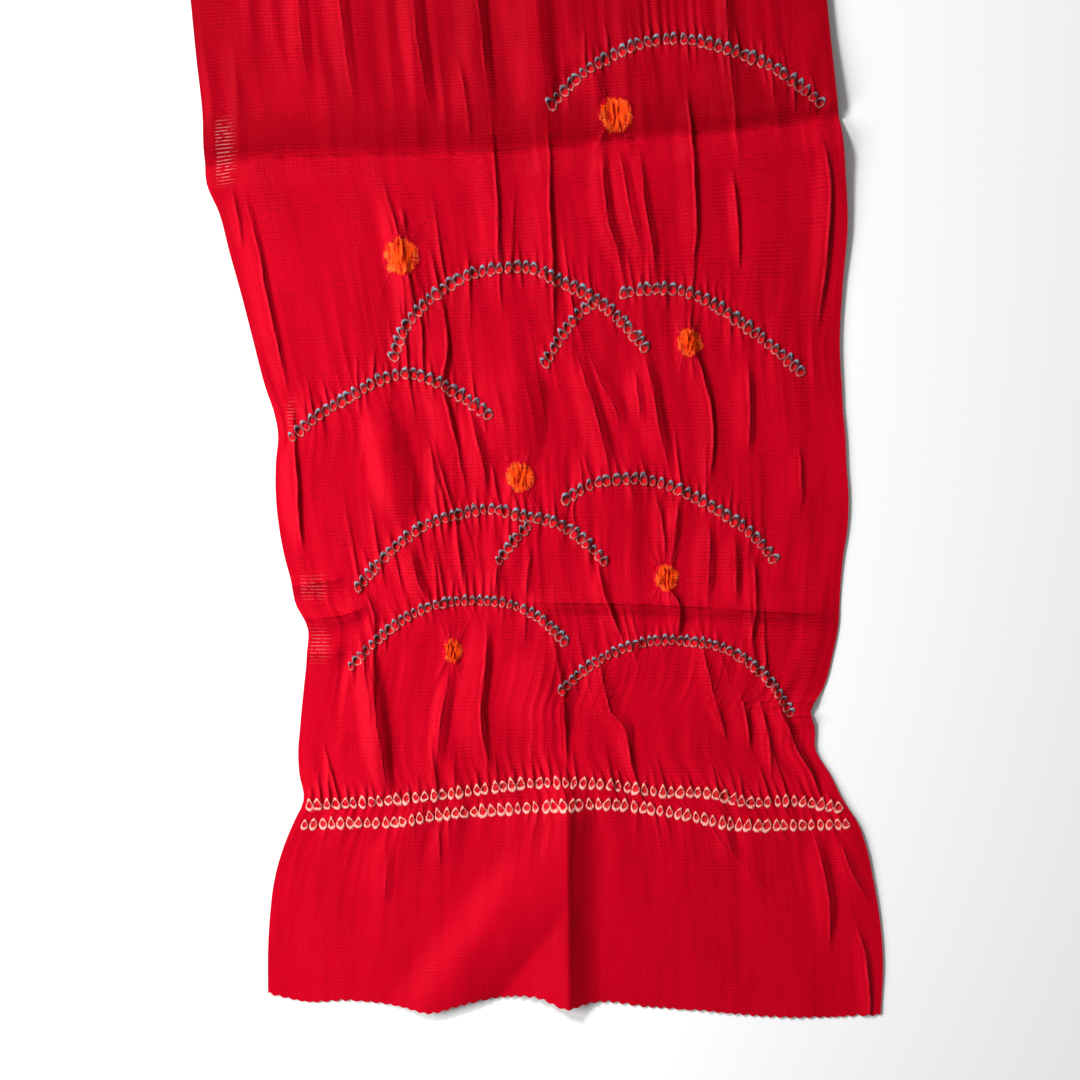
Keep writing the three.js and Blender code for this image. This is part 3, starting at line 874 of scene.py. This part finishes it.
def round_cloth(name, segments, bands, copies):
    """Flat round pieces of cloth, one on the other, cut into sectors and bands, as copies of one."""
    bpy.ops.object.select_all(action="DESELECT")
    bpy.ops.mesh.primitive_circle_add(
        vertices=segments, radius=bands[0], fill_type="TRIFAN", calc_uvs=False)
    piece = bpy.context.active_object
    piece.name = name
    bpy.ops.object.mode_set(mode="EDIT")
    bpy.ops.mesh.select_mode(type="EDGE")
    bpy.ops.mesh.select_all(action="DESELECT")
    bpy.ops.mesh.select_non_manifold()
    for inner, outer in zip(bands, bands[1:]):
        bpy.ops.mesh.extrude_edges_move()
        bpy.ops.transform.resize(value=(outer / inner, outer / inner, 1))
    bpy.ops.mesh.select_all(action="SELECT")
    bpy.ops.mesh.normals_make_consistent(inside=False)
    bpy.ops.object.mode_set(mode="OBJECT")
    if piece.data.polygons[0].normal.z < 0:
        piece.data.flip_normals()
    one = np.empty(len(piece.data.vertices) * 3)
    piece.data.vertices.foreach_get("co", one)
    repeat = piece.modifiers.new("copies", "ARRAY")
    repeat.count = copies
    repeat.use_relative_offset = False
    bpy.ops.object.modifier_apply(modifier="copies")
    bpy.ops.object.shade_smooth()
    return piece, one.reshape(-1, 3)[:, :2]


def lay_on_cloth(piece, flat, across, along, raised, luck):
    """Lays copies of a round piece on both ends of the cloth. flat is one copy's outline in its own
    radii. across, along, raised: a row for each copy, in the order near end, far end."""
    mesh = piece.data
    copies = len(across) // 2
    points = []
    for half, rows in (("near", slice(0, copies)), ("far", slice(copies, None))):
        sideways, lengthways = across[rows].ravel(), along[rows].ravel()
        height = np.maximum(lie(sideways, lengthways, half) + raised[rows].ravel(), LOWEST)
        points.append(place_half(sideways, lengthways, height, half))
    points = np.concatenate(points)
    mesh.vertices.foreach_set("co", (points * MM).ravel())
    station = along.ravel()
    share = share_across(across.ravel(), station)
    far = np.arange(len(points)) >= len(points) // 2
    share = np.where(far, 1 - share, share)
    station = np.where(far, LENGTH - station, station)
    set_weave(mesh, share, station)
    set_map(mesh, "mark", np.tile(flat, (2 * copies, 1)))
    set_amount(mesh, "luck", np.repeat(luck, len(flat)))
    set_amount(mesh, "pucker", np.zeros(len(points)))
    set_places(mesh, "past_edges", np.zeros((len(points), 3)))
    set_places(mesh, "edge_sharpness", np.zeros((len(points), 3)))
    mesh.update()


def ring_rows(name, marks, width, height, pointed, puff, rng):
    """All the rings of some rows, on both ends of the cloth, as one piece."""
    marks = np.concatenate(list(marks.values()))
    marks = np.concatenate([marks, marks]) - [0, RING_DROP, 0, 0]
    piece, flat = round_cloth(name, RING_SEGMENTS, RING_BANDS, len(marks))

    def luck(low, high):
        return rng.uniform(low, high, (len(marks), 1))

    size = luck(0.85, 1.1) * marks[:, 3:4]
    slim = luck(0.78, 1.1)
    turn = RING_TURN * marks[:, 2:3] + rng.normal(0, 0.15, (len(marks), 1))
    u, v = flat.T
    angle = np.arctan2(v, u)
    upper = np.clip(v, 0, 1)
    uneven = 1 + 0.08 * np.cos(2 * angle + luck(0, 6.3)) + 0.07 * np.cos(3 * angle + luck(0, 6.3))
    sideways = width * size * slim * uneven * u * (1 - pointed * upper)
    upwards = height * size * uneven * v * (1 + 0.5 * pointed * upper**3)
    across = marks[:, 0:1] + sideways * np.cos(turn) - upwards * np.sin(turn)
    along = marks[:, 1:2] + sideways * np.sin(turn) + upwards * np.cos(turn)
    radius = np.hypot(u, v)
    cap = np.clip(v / np.maximum(radius, 0.1), 0, 1) ** 2
    rim = np.interp(radius, [0, *RING_BANDS], RING_RIM)
    tip = np.interp(radius, [0, *RING_BANDS], RING_CAP)
    raised = puff * (rim + tip * cap) * luck(0.75, 1.2)
    raised = np.where(radius > MARK_EDGE, RING_UNDER, raised)
    lay_on_cloth(piece, flat, across, along, raised, rng.uniform(0, 1, len(marks)))
    return piece


def mark_polar(tree, ragged):
    """Height and ragged radius within a mark, in its own radii, and its own place in the noise."""
    mark = add(tree, "UVMap", {}, uv_map="mark")["UV"]
    shift = {0: (57.0, 91.0, 0.0), "Scale": attribute(tree, "luck")}
    shift = add(tree, "VectorMath", shift, operation="SCALE")["Vector"]
    own = add(tree, "VectorMath", {0: mark, 1: shift}, operation="ADD")["Vector"]
    noise = sum_up(tree, "SUBTRACT", speckle(tree, own, (3.4, 3.4), 3.0), 0.5)
    height = add(tree, "SeparateXYZ", {0: mark})["Y"]
    radius = add(tree, "VectorMath", {0: mark}, operation="LENGTH")["Value"]
    return height, sum_up(tree, "MULTIPLY_ADD", noise, ragged, radius), own


def tied_line(tree, radius, middle, wide, sure, gone):
    """1 on the line where the thread ran round a ring, and 0 off it."""
    off_line = sum_up(tree, "ABSOLUTE", sum_up(tree, "SUBTRACT", radius, middle))
    off_line = step_up(tree, sum_up(tree, "DIVIDE", off_line, wide), sure, gone)
    return sum_up(tree, "SUBTRACT", 1.0, off_line)


THREAD_LOW = (0.58, 0.23, 0.20, 1)
THREAD_GREY = (0.19, 0.145, 0.15, 1)
THREAD_BLUE = (0.20, 0.37, 0.47, 1)
THREAD_DARK = (0.07, 0.075, 0.08, 1)
RING_SHADE = (0.055, 0.02, 0.02, 1)
RING_RED = (0.56, 0.004, 0.008, 1)


def arc_ring_paint(tree):
    silk, relief = gauze(tree)
    height, radius, own = mark_polar(tree, 0.42)
    cap = step_up(tree, height, 0.4, 1.0)
    wide = sum_up(tree, "MULTIPLY_ADD", cap, 0.10, 0.12)
    on_line = tied_line(tree, radius, 0.95, wide, 0.55, 1.35)
    thread = blend_colours(tree, step_up(tree, height, -0.75, 0.1), THREAD_LOW, THREAD_GREY)
    thread = blend_colours(tree, cap, thread, THREAD_BLUE)
    stain = step_up(tree, speckle(tree, own, (1.9, 1.9), 2.0), 0.42, 0.60, 0.0, 0.9)
    thread = blend_colours(tree, stain, thread, THREAD_DARK)
    inside = step_up(tree, radius, 0.95, 0.75)
    shade = times(tree, times(tree, inside, step_up(tree, height, -0.2, 0.5)), 0.9)
    colour = blend_colours(tree, inside, silk, RING_RED)
    colour = blend_colours(tree, shade, colour, RING_SHADE)
    return blend_colours(tree, on_line, colour, thread), relief


arc_rings = ring_rows(
    "arc_rings", ARC_MARKS, ARC_RING_WIDTH, ARC_RING_HEIGHT, pointed=0.25, puff=0.6,
    rng=np.random.default_rng(31))
arc_rings.data.materials.append(silk_finish("blue_grey_ring_dye", arc_ring_paint))
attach(arc_rings, "root")

# The two pale rows near the cut end are tied in the same way, and the dye was kept out of them, so
# their rings are nearly white, fuzzy, pointed at the top and thick at the bottom.
PALE_RING_WIDTH = 1.85
PALE_RING_HEIGHT = 2.3
PALE_THREAD = (1.0, 0.52, 0.44, 1)
PALE_WASH = (0.90, 0.10, 0.06, 1)


def pale_ring_paint(tree):
    silk, relief = gauze(tree)
    height, radius, own = mark_polar(tree, 0.40)
    low = step_up(tree, height, 0.1, -0.8)
    tip = step_up(tree, height, 0.5, 0.95)
    wide = sum_up(tree, "MULTIPLY_ADD", low, 0.20, sum_up(tree, "MULTIPLY_ADD", tip, 0.06, 0.095))
    on_line = tied_line(tree, radius, 0.92, wide, 0.5, 1.5)
    faded = step_up(tree, speckle(tree, own, (1.6, 1.6), 2.0), 0.30, 0.5, 0.25, 1.0)
    fuzz = step_up(tree, speckle(tree, own, (7.0, 7.0), 1.0), 0.32, 0.5, 0.45, 1.0)
    wash = times(tree, step_up(tree, radius, 1.3, 0.9), 0.16)
    colour = blend_colours(tree, wash, silk, PALE_WASH)
    on_line = times(tree, times(tree, on_line, fuzz), faded)
    return blend_colours(tree, on_line, colour, PALE_THREAD), relief


pale_rings = ring_rows(
    "pale_rings", PALE_MARKS, PALE_RING_WIDTH, PALE_RING_HEIGHT, pointed=0.42, puff=0.42,
    rng=np.random.default_rng(37))
pale_rings.data.materials.append(silk_finish("pale_ring_dye", pale_ring_paint))
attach(pale_rings, "root")

# The knots: a larger round tuft inside each arc, tied tight all round and dyed orange. Untied again,
# it keeps its puckers and the wavy folds that run through it along the cloth.
KNOT_SEGMENTS = 44
KNOT_BANDS = (0.12, 0.25, 0.38, 0.5, 0.62, 0.74, 0.86, 0.97, 1.1, 1.3)
KNOT_WIDTH = 0.96
KNOT_HEIGHT = 1.04
KNOT_DOME = 1.1
KNOT_PUCKERS = (15, 19, 24)
KNOT_PUCKER_HEIGHT = 0.34
KNOT_UNDER = -0.35
KNOT_LOWEST = 0.06

# The smallest is a star with spikier points
SMALL_KNOT = 5.0
SMALL_KNOT_HEIGHT = 1.22
SMALL_KNOT_SPIKES = 1.9

# Wavy folds through a knot, as place across it, width, depth
KNOT_FOLDS = [(-0.42, 0.08, 0.5), (-0.08, 0.08, 0.85), (0.20, 0.08, 0.8), (0.50, 0.08, 0.5)]


def knots(rng):
    """The tufts of both ends, as one piece."""
    spots = np.array([*KNOTS, *KNOTS], float)
    piece, flat = round_cloth("orange_knots", KNOT_SEGMENTS, KNOT_BANDS, len(spots))
    u, v = flat.T
    radius = np.hypot(u, v)
    angle = np.arctan2(v, u)
    star = spots[:, 2:3] < SMALL_KNOT
    across = spots[:, 0:1] + spots[:, 2:3] * u * KNOT_WIDTH
    along = spots[:, 1:2] + spots[:, 2:3] * v * np.where(star, SMALL_KNOT_HEIGHT, KNOT_HEIGHT)
    ends = np.clip((1.0 - np.abs(v)) / 0.3, 0, 1)
    raised = []
    for _ in spots:
        edge = 1 + 0.07 * np.sin(3 * angle + rng.uniform(0, 6))
        edge += 0.05 * np.sin(7 * angle + rng.uniform(0, 6))
        dome = KNOT_DOME * np.clip(1 - (radius / (1.12 * edge)) ** 2, 0, 1) ** 0.6
        puckers = sum(np.cos(n * angle + rng.uniform(0, 6)) for n in KNOT_PUCKERS) / 3
        puckers *= np.clip(radius / 0.5, 0, 1) * np.clip((MARK_EDGE - radius) / 0.25, 0, 1)
        dome += KNOT_PUCKER_HEIGHT * puckers
        for place, wide, deep in KNOT_FOLDS:
            bend = place + rng.uniform(-0.05, 0.05) + 0.06 * np.sin(5.0 * v + rng.uniform(0, 6))
            dome -= deep * ends * np.exp(-((u - bend) / wide) ** 2)
            dome += 0.4 * deep * ends * np.exp(-((u - bend + 0.15) / 0.09) ** 2)
        raised.append(np.where(radius > MARK_EDGE, KNOT_UNDER, np.maximum(dome, KNOT_LOWEST)))
    lay_on_cloth(piece, flat, across, along, np.array(raised), rng.uniform(0, 1, len(spots)))
    set_amount(piece.data, "spiky", np.repeat(np.where(star, SMALL_KNOT_SPIKES, 1.0), len(flat)))
    return piece


ORANGE = (0.93, 0.062, 0.004, 1)
LIGHT_ORANGE = (1.0, 0.20, 0.045, 1)
KNOT_GROOVE_SHADE = (0.42, 0.006, 0.004, 1)


def knot_paint(tree):
    silk, relief = gauze(tree)
    _, radius, own = mark_polar(tree, 0.16)
    mark = add(tree, "UVMap", {}, uv_map="mark")["UV"]
    around = add(tree, "VectorMath", {0: mark}, operation="NORMALIZE")["Vector"]
    spokes = sum_up(tree, "SUBTRACT", speckle(tree, around, (6.5, 6.5), 2.0), 0.5)
    shift = {0: (40.0, 0.0, 0.0), "Scale": attribute(tree, "luck")}
    shift = add(tree, "VectorMath", shift, operation="SCALE")["Vector"]
    shifted = add(tree, "VectorMath", {0: around, 1: shift}, operation="ADD")["Vector"]
    lobes = sum_up(tree, "SUBTRACT", speckle(tree, shifted, (1.9, 1.9), 1.0), 0.5)
    ragged = sum_up(tree, "MULTIPLY_ADD", spokes, 0.6, times(tree, lobes, 0.42))
    reach = sum_up(tree, "MULTIPLY_ADD", ragged, attribute(tree, "spiky"), radius)
    tied = step_up(tree, reach, 1.04, 0.90)
    rim = times(tree, step_up(tree, radius, 0.5, 0.95), step_up(tree, spokes, -0.06, 0.12))
    # Painted shade: the orange is darkened along wavy grooves
    wavy = step_up(tree, speckle(tree, own, (5.5, 1.1), 2.0), 0.50, 0.64)
    orange = blend_colours(tree, times(tree, wavy, 0.85), ORANGE, KNOT_GROOVE_SHADE)
    orange = blend_colours(tree, times(tree, rim, 0.7), orange, LIGHT_ORANGE)
    spokes = times(tree, spokes, step_up(tree, radius, 0.4, 0.8))
    relief = sum_up(tree, "MULTIPLY_ADD", times(tree, spokes, tied), 0.8, relief)
    relief = sum_up(tree, "MULTIPLY_ADD", times(tree, wavy, tied), -0.3, relief)
    return blend_colours(tree, tied, silk, orange), relief


orange_knots = knots(np.random.default_rng(41))
orange_knots.data.materials.append(silk_finish("orange_knot_dye", knot_paint))
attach(orange_knots, "root")

# The surface that the cloth lies on, plain and pale
bpy.ops.mesh.primitive_plane_add(size=30, location=(0, 0, 0))
floor = bpy.context.active_object
floor.name = "floor"
floor_paint = bpy.data.materials.new("pale_floor")
floor_paint.use_nodes = True
floor_shader = floor_paint.node_tree.nodes["Principled BSDF"]
floor_shader.inputs["Base Color"].default_value = (0.98, 0.98, 0.98, 1)
floor_shader.inputs["Roughness"].default_value = 0.9
floor.data.materials.append(floor_paint)

# The camera hangs straight above the near end. Its frame is 486 mm wide on the surface.
FRAME_WIDTH = 0.486
CAMERA_HEIGHT = 1.4
FRAME_MIDDLE = (0.0238, -0.685)
SENSOR_WIDTH = 36
camera_data = bpy.data.cameras.new("camera")
camera = bpy.data.objects.new("camera", camera_data)
bpy.context.scene.collection.objects.link(camera)
camera.location = (*FRAME_MIDDLE, CAMERA_HEIGHT)
camera_data.sensor_width = SENSOR_WIDTH
camera_data.lens = SENSOR_WIDTH * CAMERA_HEIGHT / FRAME_WIDTH
bpy.context.scene.camera = camera


def soft_light(name, place, size, power):
    """A square light that faces the middle of the frame."""
    light_data = bpy.data.lights.new(name, "AREA")
    light_data.size = size
    light_data.energy = power
    light = bpy.data.objects.new(name, light_data)
    bpy.context.scene.collection.objects.link(light)
    light.location = place
    aim = np.array([*FRAME_MIDDLE, 0]) - np.array(place)
    tilt = math.atan2(math.hypot(aim[0], aim[1]), -aim[2])
    light.rotation_euler = (tilt, 0, math.atan2(aim[1], aim[0]) - math.pi / 2)


# The light comes from the upper left, and a weak one low at the left brightens that side of the
# folds
soft_light("key_light", place=(-1.101, 0.365, 1.0875), size=0.375, power=31)
soft_light("side_light", place=(-0.54, -0.80, 0.36), size=0.36, power=4.8)
world = bpy.data.worlds.new("studio")
world.use_nodes = True
world.node_tree.nodes["Background"].inputs["Color"].default_value = (1, 1, 1, 1)
world.node_tree.nodes["Background"].inputs["Strength"].default_value = 0.23
bpy.context.scene.world = world
bpy.context.scene.view_settings.view_transform = "Standard"
